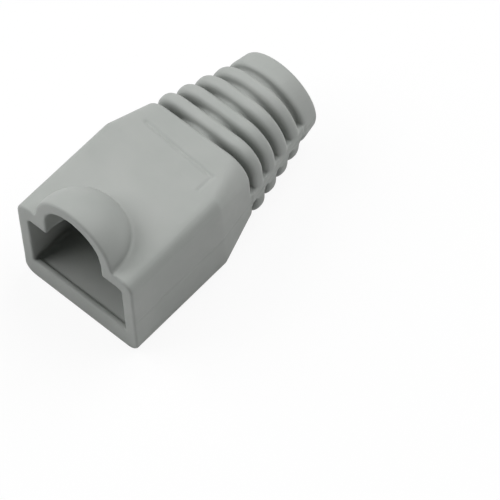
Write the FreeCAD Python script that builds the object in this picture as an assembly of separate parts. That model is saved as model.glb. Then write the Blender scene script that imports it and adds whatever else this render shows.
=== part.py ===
import FreeCAD, Part

import math
import os

from FreeCAD import Vector

# Strain relief boot, moulded in one soft piece.
# +Z is up, +Y runs from the plug socket to the cable collar, +X is across.
# Heights below are measured from the underside. At the end the part is moved
# so that the origin is the centre of the plug socket's mouth.

# Plug that the boot slides over, and how closely the socket fits it
plug_width = 11.68
plug_height = 6.6
socket_clearance = 0.06
socket_depth = 12.2
socket_corner_radius = 0.4

# Cable that leaves through the collar
cable_diameter = 6.0
cable_clearance = 0.2
cable_wall = 1.0

# Housing walls
side_wall = 1.35
floor_thickness = 2.2
roof_thickness = 1.68
mouth_rake = 0.4
mouth_edge_chamfer = 0.15

# Lip across the floor of the mouth that holds the plug back
lip_height = 0.4
lip_length = 0.75

# Housing outline: straight sides as far as the waist, then a taper
waist_distance = 12.3
body_length = 17.14
rear_half_width = 6.5
rear_bottom_rise = 0.2
rear_top_drop = 0.25
mouth_corner_radius = 1.3
rear_bottom_radius = 3.6
rear_top_radius = 2.6
rear_edge_radius = 0.45

# Latch hood: a bubble over the plug's latch, open towards the mouth
hood_radius = 4.8
hood_wall = 1.3
hood_centre_distance = 1.2
hood_blend_radius = 0.6

# Ribbed neck
rib_count = 4
rib_thickness = 1.4
rib_edge_radius = 0.5
groove_width = 0.64
groove_depth = 0.8
web_height = 1.7
web_setback = 0.08

# Collar at the cable end
collar_radius = 5.0
collar_end_radius = 4.6
collar_length = 2.32
collar_front_edge_radius = 0.45
collar_end_chamfer = 0.15
bore_edge_chamfer = 0.2

# Conical bands that each rounded rim is made of
rim_bands = 3

# Sizes that follow from those above
overlap = 0.5
socket_width = plug_width + 2 * socket_clearance
socket_height = plug_height + 2 * socket_clearance
lip_top = floor_thickness + lip_height
socket_ceiling = lip_top + socket_height
housing_height = socket_ceiling + roof_thickness
mouth_half_width = socket_width / 2 + side_wall
bore_radius = cable_diameter / 2 + cable_clearance
neck_axis_height = collar_radius
rib_pitch = rib_thickness + groove_width
collar_front = body_length + rib_count * rib_pitch + groove_width
overall_length = collar_front + collar_length
hood_hollow_radius = hood_radius - hood_wall
roof_flat = mouth_half_width - mouth_corner_radius
hood_foot_radius = min(hood_blend_radius, (roof_flat**2 / hood_radius - hood_radius) / 2)


def rounded_section(y, half_width, bottom, top, bottom_radius, top_radius):
    """Closed outline across the part: a rectangle with four rounded corners."""
    bow = math.sqrt(0.5)
    corners = [
        (half_width - bottom_radius, bottom + bottom_radius, bottom_radius, 1, -1),
        (half_width - top_radius, top - top_radius, top_radius, 1, 1),
        (top_radius - half_width, top - top_radius, top_radius, -1, 1),
        (bottom_radius - half_width, bottom + bottom_radius, bottom_radius, -1, -1),
    ]
    arcs = []
    for x, z, radius, side, rise in corners:
        side_point = Vector(x + side * radius, y, z)
        middle = Vector(x + side * radius * bow, y, z + rise * radius * bow)
        level_point = Vector(x, y, z + rise * radius)
        ends = (level_point, side_point) if side * rise < 0 else (side_point, level_point)
        arcs.append((ends[0], middle, ends[1]))
    edges = []
    for index, (start, middle, end) in enumerate(arcs):
        edges.append(Part.Arc(start, middle, end).toShape())
        following = arcs[(index + 1) % 4][0]
        if end.distanceToPoint(following) > 1e-4:
            edges.append(Part.makeLine(end, following))
    return Part.Wire(edges)


def rim_outlines(outline, face, inward, radius):
    """Outlines that round off a rim, from its flat face at a distance into the part."""
    outlines = []
    for index in range(rim_bands + 1):
        turn = math.pi / 2 * index / rim_bands
        depth = radius * (1 - math.cos(turn))
        inset = radius * (1 - math.sin(turn))
        outlines.append(outline(face + inward * depth, inset))
    return outlines


def rounded_plate(outline, front, rear, front_radius, rear_radius):
    """Solid of one outline from front to rear, with both of its rims rounded."""
    outlines = rim_outlines(outline, front, 1, front_radius)
    outlines += reversed(rim_outlines(outline, rear, -1, rear_radius))
    return Part.makeLoft(outlines, True, True)


def mouth_section(y):
    radius = mouth_corner_radius
    return rounded_section(y, mouth_half_width, 0, housing_height, radius, radius)


def rear_section(y, inset):
    return rounded_section(
        y,
        rear_half_width - inset,
        rear_bottom_rise + inset,
        housing_height - rear_top_drop - inset,
        rear_bottom_radius - inset,
        rear_top_radius - inset,
    )


def housing_block():
    """Outside of the housing: a straight box, then a taper with fuller corners."""
    straight = Part.Face(mouth_section(0)).extrude(Vector(0, waist_distance, 0))
    rear_rim = rim_outlines(rear_section, body_length, -1, rear_edge_radius)
    taper = Part.makeLoft([mouth_section(waist_distance)] + rear_rim[::-1], True, True)
    return straight.fuse(taper)


def dome(radius, front):
    """A cylinder closed by a quarter ball, lying along +Y with its axis on the roof."""
    barrel_length = hood_centre_distance - front
    profile = Part.Wire(
        [
            Part.makeLine(Vector(0, front, 0), Vector(radius, front, 0)),
            Part.makeLine(Vector(radius, front, 0), Vector(radius, front + barrel_length, 0)),
            Part.Arc(
                Vector(radius, hood_centre_distance, 0),
                Vector(
                    radius * math.sqrt(0.5), hood_centre_distance + radius * math.sqrt(0.5), 0
                ),
                Vector(0, hood_centre_distance + radius, 0),
            ).toShape(),
            Part.makeLine(Vector(0, hood_centre_distance + radius, 0), Vector(0, front, 0)),
        ]
    )
    solid = Part.Face(profile).revolve(Vector(0, 0, 0), Vector(0, 1, 0), 360)
    solid.translate(Vector(0, 0, housing_height))
    return solid


def latch_hood():
    """Outside of the latch hood, from the roof upwards."""
    reach = hood_radius + overlap
    above = Part.makeBox(
        2 * reach,
        2 * reach + hood_centre_distance,
        reach + roof_thickness / 2,
        Vector(-reach, 0, housing_height - roof_thickness / 2),
    )
    return dome(hood_radius, 0).common(above)


def hood_foot():
    """Soft blend between the roof and the foot of the hood, along both sides and round."""
    centre = math.sqrt(hood_radius**2 + 2 * hood_radius * hood_foot_radius)
    share = hood_radius / (hood_radius + hood_foot_radius)
    slant = math.atan2(centre, hood_foot_radius) / 2
    on_hood = Vector(share * centre, 0, share * hood_foot_radius)
    on_roof = Vector(centre, 0, 0)
    middle = Vector(
        centre - hood_foot_radius * math.sin(slant),
        0,
        hood_foot_radius * (1 - math.cos(slant)),
    )
    inside = Vector(hood_radius - hood_wall / 2, 0, -overlap)
    profile = Part.Face(
        Part.Wire(
            [
                Part.Arc(on_hood, middle, on_roof).toShape(),
                Part.makeLine(on_roof, inside),
                Part.makeLine(inside, on_hood),
            ]
        )
    )
    profile.translate(Vector(0, hood_centre_distance, housing_height))
    axis_point = Vector(0, hood_centre_distance, 0)
    ring = profile.revolve(axis_point, Vector(0, 0, 1), 180)
    right = profile.extrude(Vector(0, -hood_centre_distance, 0))
    left = right.mirror(Vector(0, 0, 0), Vector(1, 0, 0))
    return ring.fuse([right, left])


def latch_hollow():
    """Inside of the hood, open to the socket below and to the mouth in front."""
    drop = housing_height - socket_ceiling + overlap
    slot = Part.makeBox(
        2 * hood_hollow_radius,
        hood_centre_distance + overlap,
        drop,
        Vector(-hood_hollow_radius, -overlap, housing_height - drop),
    )
    slot_end = Part.makeCylinder(
        hood_hollow_radius,
        drop,
        Vector(0, hood_centre_distance, housing_height - drop),
    )
    return dome(hood_hollow_radius, -overlap).fuse([slot, slot_end])


def socket_box(start, end):
    """Straight prism the plug slides into, with softened long corners."""
    outline = rounded_section(
        start,
        socket_width / 2,
        floor_thickness,
        socket_ceiling,
        socket_corner_radius,
        socket_corner_radius,
    )
    return Part.Face(outline).extrude(Vector(0, end - start, 0))


def plug_socket():
    """Socket for the plug, narrowing at its end to the cable bore."""
    straight = socket_box(-overlap, socket_depth)
    throat_end = body_length
    corner_reach = math.hypot(socket_width / 2, socket_ceiling - neck_axis_height) + 0.1
    cone = Part.makeCone(
        corner_reach,
        bore_radius,
        throat_end - socket_depth,
        Vector(0, socket_depth, neck_axis_height),
        Vector(0, 1, 0),
    )
    throat = cone.common(socket_box(socket_depth, throat_end))
    return straight.fuse(throat)


def mouth_lip():
    """Low lip across the floor just inside the mouth."""
    half = socket_width / 2 + overlap / 2
    lip = Part.makeBox(
        2 * half, lip_length, lip_height + overlap, Vector(-half, 0, floor_thickness - overlap)
    )
    top_edges = [
        edge
        for edge in lip.Edges
        if edge.BoundBox.ZMin > lip_top - 1e-3 and edge.BoundBox.YMin > lip_length - 1e-3
    ]
    return lip.makeFillet(min(lip_height, lip_length) * 0.8, top_edges)


def rake_wedge():
    """Wedge in front of the mouth plane, which leans back towards the roof."""
    height = housing_height + hood_radius + overlap
    lean = mouth_rake * height / housing_height
    reach = mouth_half_width + overlap
    outline = Part.makePolygon(
        [
            Vector(-reach, 0, 0),
            Vector(-reach, lean, height),
            Vector(-reach, -overlap, height),
            Vector(-reach, -overlap, 0),
            Vector(-reach, 0, 0),
        ]
    )
    return Part.Face(outline).extrude(Vector(2 * reach, 0, 0))


def soften_mouth(housing):
    """Break the outer edge all round the mouth, hood included."""
    lean = mouth_rake / housing_height
    mouth_faces = [
        face
        for face in housing.Faces
        if all(abs(point.Y - lean * point.Z) < 1e-4 for point in face.Vertexes)
    ]
    mouth = max(mouth_faces, key=lambda face: face.Area)
    return housing.makeChamfer(mouth_edge_chamfer, mouth.OuterWire.Edges)


def neck_share(y):
    """How far along the neck a distance lies: 0 at the housing, 1 at the collar."""
    return (y - body_length) / (collar_front - body_length)


def neck_span(share):
    """Half width, bottom and top of the neck's outline."""
    half_width = rear_half_width + share * (collar_radius - rear_half_width)
    bottom = rear_bottom_rise * (1 - share)
    rear_top = housing_height - rear_top_drop
    top = rear_top + share * (2 * neck_axis_height - rear_top)
    return half_width, bottom, top


def neck_section(y, share, inset):
    """Neck outline, which changes from the housing's end to the round collar."""
    half_width, bottom, top = neck_span(share)
    return rounded_section(
        y,
        half_width - inset,
        bottom + inset,
        top - inset,
        rear_bottom_radius + share * (collar_radius - rear_bottom_radius) - inset,
        rear_top_radius + share * (collar_radius - rear_top_radius) - inset,
    )


def rib(front):
    """One rib: a plate of the neck's outline with both rims fully rounded."""
    share = neck_share(front + rib_thickness / 2)

    def outline(y, inset):
        return neck_section(y, share, inset)

    return rounded_plate(
        outline, front, front + rib_thickness, rib_edge_radius, rib_edge_radius
    )


def ribs():
    first = body_length + groove_width
    return [rib(first + index * rib_pitch) for index in range(rib_count)]


def core_length(front):
    """Core under one groove: an upright oval that reaches into the ribs beside it."""
    half_width, bottom, top = neck_span(neck_share(front + groove_width / 2))
    core_half_width = bore_radius + cable_wall
    crown_radius = min(core_half_width, (top - bottom) / 2 - groove_depth)
    outline = rounded_section(
        front - rib_thickness / 2,
        core_half_width,
        bottom + groove_depth,
        top - groove_depth,
        crown_radius,
        crown_radius,
    )
    return Part.Face(outline).extrude(Vector(0, rib_pitch, 0))


def core():
    """Wall round the cable, seen in the grooves, with its crown near the ribs' tops."""
    return [core_length(body_length + index * rib_pitch) for index in range(rib_count + 1)]


def webs():
    """Web along both sides that joins the ribs, almost flush with them."""
    start = body_length - rear_edge_radius
    end = collar_front + collar_front_edge_radius
    wide = neck_span(neck_share(start))[0] - web_setback
    narrow = neck_span(neck_share(end))[0] - web_setback
    bottom = neck_axis_height - web_height / 2
    outline = Part.makePolygon(
        [
            Vector(-wide, start, bottom),
            Vector(wide, start, bottom),
            Vector(narrow, end, bottom),
            Vector(-narrow, end, bottom),
            Vector(-wide, start, bottom),
        ]
    )
    return Part.Face(outline).extrude(Vector(0, 0, web_height))


def collar_section(y, inset):
    """Circle round the cable, smaller towards the end of the collar."""
    share = (y - collar_front) / collar_length
    radius = collar_radius + share * (collar_end_radius - collar_radius) - inset
    centre = Vector(0, y, neck_axis_height)
    return Part.Wire(Part.makeCircle(radius, centre, Vector(0, 1, 0)))


def collar():
    """Plain round collar with a slight taper towards the cable and a crisp end."""
    outlines = rim_outlines(collar_section, collar_front, 1, collar_front_edge_radius)
    outlines.append(collar_section(overall_length - collar_end_chamfer, 0))
    outlines.append(collar_section(overall_length, collar_end_chamfer))
    return Part.makeLoft(outlines, True, True)


def cable_bore():
    """Bore for the cable, with its edge at the collar's end broken."""
    start = body_length - overlap
    bore = Part.makeCylinder(
        bore_radius,
        overall_length + overlap - start,
        Vector(0, start, neck_axis_height),
        Vector(0, 1, 0),
    )
    mouth = Part.makeCone(
        bore_radius,
        bore_radius + 2 * bore_edge_chamfer,
        2 * bore_edge_chamfer,
        Vector(0, overall_length - bore_edge_chamfer, neck_axis_height),
        Vector(0, 1, 0),
    )
    return bore.fuse(mouth)


def boot():
    outside = housing_block().fuse([latch_hood(), hood_foot()])
    housing = outside.cut(plug_socket()).cut(latch_hollow())
    housing = housing.fuse(mouth_lip()).cut(rake_wedge()).removeSplitter()
    housing = soften_mouth(housing)
    neck = webs().fuse(core() + ribs() + [collar()])
    part = housing.fuse(neck).cut(cable_bore())
    return part.removeSplitter()


def write_part(shape, name):
    shape.translate(Vector(0, -mouth_rake / 2, -(lip_top + socket_ceiling) / 2))
    os.makedirs("parts", exist_ok=True)
    shape.exportStep("parts/" + name + ".step")


write_part(boot(), "boot")
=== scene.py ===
import math

import bpy
import numpy as np
from mathutils import Matrix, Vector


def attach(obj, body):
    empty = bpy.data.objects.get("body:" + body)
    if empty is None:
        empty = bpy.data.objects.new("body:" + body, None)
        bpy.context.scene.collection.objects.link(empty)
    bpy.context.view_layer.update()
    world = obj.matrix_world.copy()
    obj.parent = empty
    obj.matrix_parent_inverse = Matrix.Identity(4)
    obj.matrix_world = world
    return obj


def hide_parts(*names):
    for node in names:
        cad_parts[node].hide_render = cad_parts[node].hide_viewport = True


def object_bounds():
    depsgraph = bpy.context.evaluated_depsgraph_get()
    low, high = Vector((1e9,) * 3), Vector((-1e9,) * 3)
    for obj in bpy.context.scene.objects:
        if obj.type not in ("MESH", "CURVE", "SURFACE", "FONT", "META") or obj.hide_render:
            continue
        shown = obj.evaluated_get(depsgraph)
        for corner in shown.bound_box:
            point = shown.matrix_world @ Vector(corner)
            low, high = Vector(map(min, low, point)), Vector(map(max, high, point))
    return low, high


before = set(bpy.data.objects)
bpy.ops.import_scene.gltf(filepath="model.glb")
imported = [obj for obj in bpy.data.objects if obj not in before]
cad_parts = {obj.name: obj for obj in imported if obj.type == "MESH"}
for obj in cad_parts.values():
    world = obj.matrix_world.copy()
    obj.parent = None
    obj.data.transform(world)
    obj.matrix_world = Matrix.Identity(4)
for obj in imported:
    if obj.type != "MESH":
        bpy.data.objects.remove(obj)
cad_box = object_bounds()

# Boot.
# The real one is a single shot of soft grey PVC. The mould rounds every edge a
# little, so the solid is taken as a fine even skin and its edges are softened.

weld_distance = 1e-6
skin_pitch = 0.00012
softening_factor = 0.5
softening_rounds = 2
skin_share_kept = 0.42

bpy.ops.object.select_all(action="DESELECT")
boot = bpy.data.objects.new("moulded_boot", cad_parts["boot"].data.copy())
bpy.context.scene.collection.objects.link(boot)
boot.select_set(True)
bpy.context.view_layer.objects.active = boot
bpy.ops.object.mode_set(mode="EDIT")
bpy.ops.mesh.select_all(action="SELECT")
bpy.ops.mesh.remove_doubles(threshold=weld_distance)
bpy.ops.object.mode_set(mode="OBJECT")

skin = boot.modifiers.new("even skin", "REMESH")
skin.mode = "VOXEL"
skin.voxel_size = skin_pitch
skin.use_smooth_shade = True
bpy.ops.object.modifier_apply(modifier=skin.name)

# Sides of the neck.
# The ribs run out flush in a flat strip along both sides of the neck, where the
# two halves of the mould meet, and stand out below it as rounded knobs. The
# grooves between the knobs cut a little way up into the strip.

neck_axis_height = -0.00096
body_end = 0.01694
collar_start = 0.02574
body_end_half_width = 0.0065
collar_half_width = 0.005
core_half_width = 0.0043
strip_half_height = 0.00085
strip_edge = 0.0002
strip_reach = 0.0004
groove_width = 0.00064
rib_pitch = 0.00204
groove_cut_share = 0.55
groove_cut_margin = 0.00005
knob_rise = 0.0003
knob_slope = math.radians(37)
knob_spread = math.radians(17)
knob_foot = 0.0045
knob_shoulder = 0.0049

count = len(boot.data.vertices)
points = np.empty(count * 3, np.float32)
boot.data.vertices.foreach_get("co", points)
points = points.reshape(-1, 3)
side = np.sign(points[:, 0])
across = np.abs(points[:, 0])
along = points[:, 1]
below_axis = neck_axis_height - points[:, 2]

taper = (body_end_half_width - collar_half_width) / (collar_start - body_end)
strip_face = body_end_half_width - taper * (along - body_end)
on_neck = (along > body_end) & (along < collar_start)
on_strip = on_neck & (across > strip_face - strip_reach)
share = np.clip((strip_half_height - np.abs(below_axis)) / strip_edge, 0, 1)
to_face = on_strip * share * (strip_face - across)

from_axis = np.hypot(across, below_axis)
slope = np.arctan2(below_axis, across)
knob = np.exp(-(((slope - knob_slope) / knob_spread) ** 2))
knob = knob * np.clip((from_axis - knob_foot) / (knob_shoulder - knob_foot), 0, 1)
outward = on_neck * knob_rise * knob

in_groove = on_neck & ((along - body_end) % rib_pitch < groove_width)
outside_core = np.clip((across - core_half_width) / strip_edge, 0, 1)
low_half = (below_axis > 0) & (below_axis < strip_half_height + groove_cut_margin)
lift = in_groove * low_half * outside_core * groove_cut_share * below_axis

points[:, 0] += side * (to_face + outward * np.cos(slope))
points[:, 2] += lift - outward * np.sin(slope)

# Foot of the hood.
# The bubble over the plug's latch meets the roof in a crease that is only a
# little rounded.

roof_height = 0.00504
hood_radius = 0.0048
hood_centre_distance = 0.001
hood_foot_radius = 0.0006
crease_share = 0.75

from_centre = np.zeros_like(points)
from_centre[:, 0] = points[:, 0]
from_centre[:, 1] = np.clip(along - hood_centre_distance, 0, None)
from_centre[:, 2] = points[:, 2] - roof_height
to_centre = np.linalg.norm(from_centre, axis=1)
to_hood = to_centre - hood_radius
to_roof = from_centre[:, 2]
near_hood = (to_hood > 0) & (to_hood < hood_foot_radius)
near_roof = (to_roof > 0) & (to_roof < hood_foot_radius)
in_foot = near_hood & near_roof
nearer_hood = in_foot & (to_hood < to_roof)
nearer_roof = in_foot & (to_hood >= to_roof)
points -= (nearer_hood * crease_share * to_hood / to_centre)[:, None] * from_centre
points[:, 2] -= nearer_roof * crease_share * to_roof
boot.data.vertices.foreach_set("co", points.ravel())
boot.data.update()

soften = boot.modifiers.new("soft edges", "SMOOTH")
soften.factor = softening_factor
soften.iterations = softening_rounds
bpy.ops.object.modifier_apply(modifier=soften.name)

# Marks of the mould.
# The insert that forms the roof leaves a hairline across it, a little askew, that
# turns towards the mouth at its right end. The two halves of the mould meet in a
# line along both sides. Left and right are as seen from in front of the mouth.

waist_distance = 0.0121
roof_drop = 0.00025
roof_skin = 0.0003
facing_up = 0.8
insert_line_left = -0.0042
insert_line_right = 0.0047
insert_line_distance = 0.01412
insert_line_slant = -0.066
insert_line_depth = 0.00016
insert_line_width = 0.00018
return_length = 0.0019
return_depth_share = 0.75
inner_wall_distance = 0.0061
facing_sideways = 0.9
parting_depth = 0.00006
parting_width = 0.00014

normals = np.empty(count * 3, np.float32)
points = points.ravel()
boot.data.vertices.foreach_get("co", points)
boot.data.vertices.foreach_get("normal", normals)
points = points.reshape(-1, 3)
normals = normals.reshape(-1, 3)
across = points[:, 0]
along = points[:, 1]


def near_line(distance, width):
    """Share of a line's full depth at a distance from it: 1 on the line, fading to 0."""
    return np.exp(-((distance / width) ** 2))


roof_slope = roof_drop / (body_end - waist_distance)
roof_level = roof_height - roof_slope * np.clip(along - waist_distance, 0, None)
on_roof = (np.abs(points[:, 2] - roof_level) < roof_skin) & (normals[:, 2] > facing_up)
line_course = insert_line_distance + insert_line_slant * across
past_end = across - np.clip(across, insert_line_left, insert_line_right)
to_cross_line = np.hypot(along - line_course, past_end)
past_return = along - np.clip(along, line_course - return_length, line_course)
to_return_line = np.hypot(across - insert_line_right, past_return)
cross_line = near_line(to_cross_line, insert_line_width)
return_line = near_line(to_return_line, insert_line_width)
insert_line = np.maximum(cross_line, return_depth_share * return_line)
points[:, 2] -= on_roof * insert_line * insert_line_depth

outer_face = np.where(along < body_end, inner_wall_distance, core_half_width)
on_side = (np.abs(normals[:, 0]) > facing_sideways) & (np.abs(across) > outer_face)
parting_line = near_line(points[:, 2] - neck_axis_height, parting_width)
points[:, 0] -= on_side * parting_line * parting_depth * np.sign(points[:, 0])

boot.data.vertices.foreach_set("co", points.ravel())
boot.data.update()

thin = boot.modifiers.new("fewer faces", "DECIMATE")
thin.ratio = skin_share_kept
bpy.ops.object.modifier_apply(modifier=thin.name)
bpy.ops.object.shade_smooth()

# Finish of the soft PVC.
# It comes out of the mould matt and a little uneven: faint cloudy patches in the
# grey, a fine grain from the mould's blasted steel, and slow waves on the flats.

darker_grey = (0.330, 0.347, 0.331, 1)
paler_grey = (0.362, 0.375, 0.360, 1)
noise_low = 0.3
noise_high = 0.7
cloud_size = 0.005
sheen_patch_size = 0.0012
smoothest = 0.50
roughest = 0.64
grain_size = 0.00009
grain_height = 0.00001
wave_size = 0.0022
wave_height = 0.00004

pvc = bpy.data.materials.new("soft_grey_pvc")
pvc.use_nodes = True
nodes = pvc.node_tree.nodes
links = pvc.node_tree.links
surface = nodes["Principled BSDF"]
surface.inputs["Specular IOR Level"].default_value = 0.35

place = nodes.new("ShaderNodeTexCoord")


def noise(size, detail, roughness=0.5):
    """Noise whose patches are about as large as the given size in metres."""
    texture = nodes.new("ShaderNodeTexNoise")
    texture.inputs["Scale"].default_value = 1 / size
    texture.inputs["Detail"].default_value = detail
    texture.inputs["Roughness"].default_value = roughness
    links.new(place.outputs["Object"], texture.inputs["Vector"])
    return texture.outputs["Fac"]


clouds = nodes.new("ShaderNodeValToRGB")
clouds.color_ramp.elements[0].position = noise_low
clouds.color_ramp.elements[0].color = darker_grey
clouds.color_ramp.elements[1].position = noise_high
clouds.color_ramp.elements[1].color = paler_grey
links.new(noise(cloud_size, detail=3), clouds.inputs["Fac"])
links.new(clouds.outputs["Color"], surface.inputs["Base Color"])

sheen_patches = nodes.new("ShaderNodeMapRange")
sheen_patches.inputs["From Min"].default_value = noise_low
sheen_patches.inputs["From Max"].default_value = noise_high
sheen_patches.inputs["To Min"].default_value = smoothest
sheen_patches.inputs["To Max"].default_value = roughest
links.new(noise(sheen_patch_size, detail=4, roughness=0.6), sheen_patches.inputs["Value"])
links.new(sheen_patches.outputs["Result"], surface.inputs["Roughness"])

grain = nodes.new("ShaderNodeBump")
grain.inputs["Strength"].default_value = 0.25
grain.inputs["Distance"].default_value = grain_height
links.new(noise(grain_size, detail=2), grain.inputs["Height"])
waves = nodes.new("ShaderNodeBump")
waves.inputs["Strength"].default_value = 0.5
waves.inputs["Distance"].default_value = wave_height
links.new(noise(wave_size, detail=1), waves.inputs["Height"])
links.new(waves.outputs["Normal"], grain.inputs["Normal"])
links.new(grain.outputs["Normal"], surface.inputs["Normal"])

boot.data.materials.clear()
boot.data.materials.append(pvc)
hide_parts("boot")
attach(boot, "root")

# Table.
# A white table that the camera sees as bright as paper, with a trace of the
# boot's own shadow left on it.

table_height = cad_box[0][2]
table_width = 1.6
table_white = (0.85, 0.85, 0.85, 1)
shadow_share = 0.1

bpy.ops.mesh.primitive_plane_add(size=table_width, location=(0, 0, table_height))
table = bpy.context.active_object
table.name = "white_table"
bpy.ops.object.transform_apply(location=True, rotation=False, scale=False)
paper = bpy.data.materials.new("white_paper")
paper.use_nodes = True
nodes = paper.node_tree.nodes
links = paper.node_tree.links
matt = nodes["Principled BSDF"]
matt.inputs["Base Color"].default_value = table_white
matt.inputs["Roughness"].default_value = 0.9
glow = nodes.new("ShaderNodeEmission")
glow.inputs["Color"].default_value = (1, 1, 1, 1)
glow.inputs["Strength"].default_value = 1.0
seen = nodes.new("ShaderNodeLightPath")
amount = nodes.new("ShaderNodeMath")
amount.operation = "MULTIPLY"
amount.inputs[1].default_value = 1 - shadow_share
links.new(seen.outputs["Is Camera Ray"], amount.inputs[0])
blend = nodes.new("ShaderNodeMixShader")
links.new(amount.outputs["Value"], blend.inputs["Fac"])
links.new(matt.outputs["BSDF"], blend.inputs[1])
links.new(glow.outputs["Emission"], blend.inputs[2])
links.new(blend.outputs["Shader"], nodes["Material Output"].inputs["Surface"])
table.data.materials.append(paper)

# Light.
# Two wide soft boxes above the table, one to the left of the boot and one behind
# its neck, with hardly any light from elsewhere. Left is as seen from in front of
# the mouth.

room_light = 0.02
soft_box_length = 0.45
soft_box_width = 0.35
soft_boxes = {
    "left": ((-0.28, -0.14, 0.30), 1.75),
    "behind": ((0.08, 0.24, 0.36), 1.85),
}

room = bpy.data.worlds.new("pale_room")
bpy.context.scene.world = room
room.use_nodes = True
nodes = room.node_tree.nodes
links = room.node_tree.links
air = nodes["Background"]
air.inputs["Color"].default_value = (1, 1, 1, 1)
air.inputs["Strength"].default_value = room_light
backdrop = nodes.new("ShaderNodeBackground")
backdrop.inputs["Color"].default_value = (1, 1, 1, 1)
backdrop.inputs["Strength"].default_value = 1.0
seen = nodes.new("ShaderNodeLightPath")
either = nodes.new("ShaderNodeMixShader")
links.new(seen.outputs["Is Camera Ray"], either.inputs["Fac"])
links.new(air.outputs["Background"], either.inputs[1])
links.new(backdrop.outputs["Background"], either.inputs[2])
links.new(either.outputs["Shader"], nodes["World Output"].inputs["Surface"])

for name, (box_place, watts) in soft_boxes.items():
    soft_box = bpy.data.lights.new("soft_box_" + name, "AREA")
    soft_box.shape = "RECTANGLE"
    soft_box.size = soft_box_length
    soft_box.size_y = soft_box_width
    soft_box.energy = watts
    lamp = bpy.data.objects.new("soft_box_" + name, soft_box)
    lamp.location = box_place
    lamp.rotation_euler = (-lamp.location).to_track_quat("-Z", "Y").to_euler()
    bpy.context.scene.collection.objects.link(lamp)

# Camera.
# It stands where the photograph was taken: in front of the mouth and to the right
# of it, looking down.

sensor_width = 36
focal_length = 224.78
camera_place = (0.122143, -0.092039, 0.241991)
camera_turn = math.radians(42.066)
camera_roll = math.radians(3.098)
camera_tilt = math.radians(32.164)

view = bpy.data.cameras.new("camera")
view.sensor_width = sensor_width
view.lens = focal_length
camera = bpy.data.objects.new("camera", view)
turn = Matrix.Rotation(camera_turn, 4, "Z")
turn = turn @ Matrix.Rotation(camera_roll, 4, "Y")
turn = turn @ Matrix.Rotation(camera_tilt, 4, "X")
camera.matrix_world = Matrix.Translation(camera_place) @ turn
bpy.context.scene.collection.objects.link(camera)
bpy.context.scene.camera = camera
bpy.context.scene.view_settings.view_transform = "Standard"
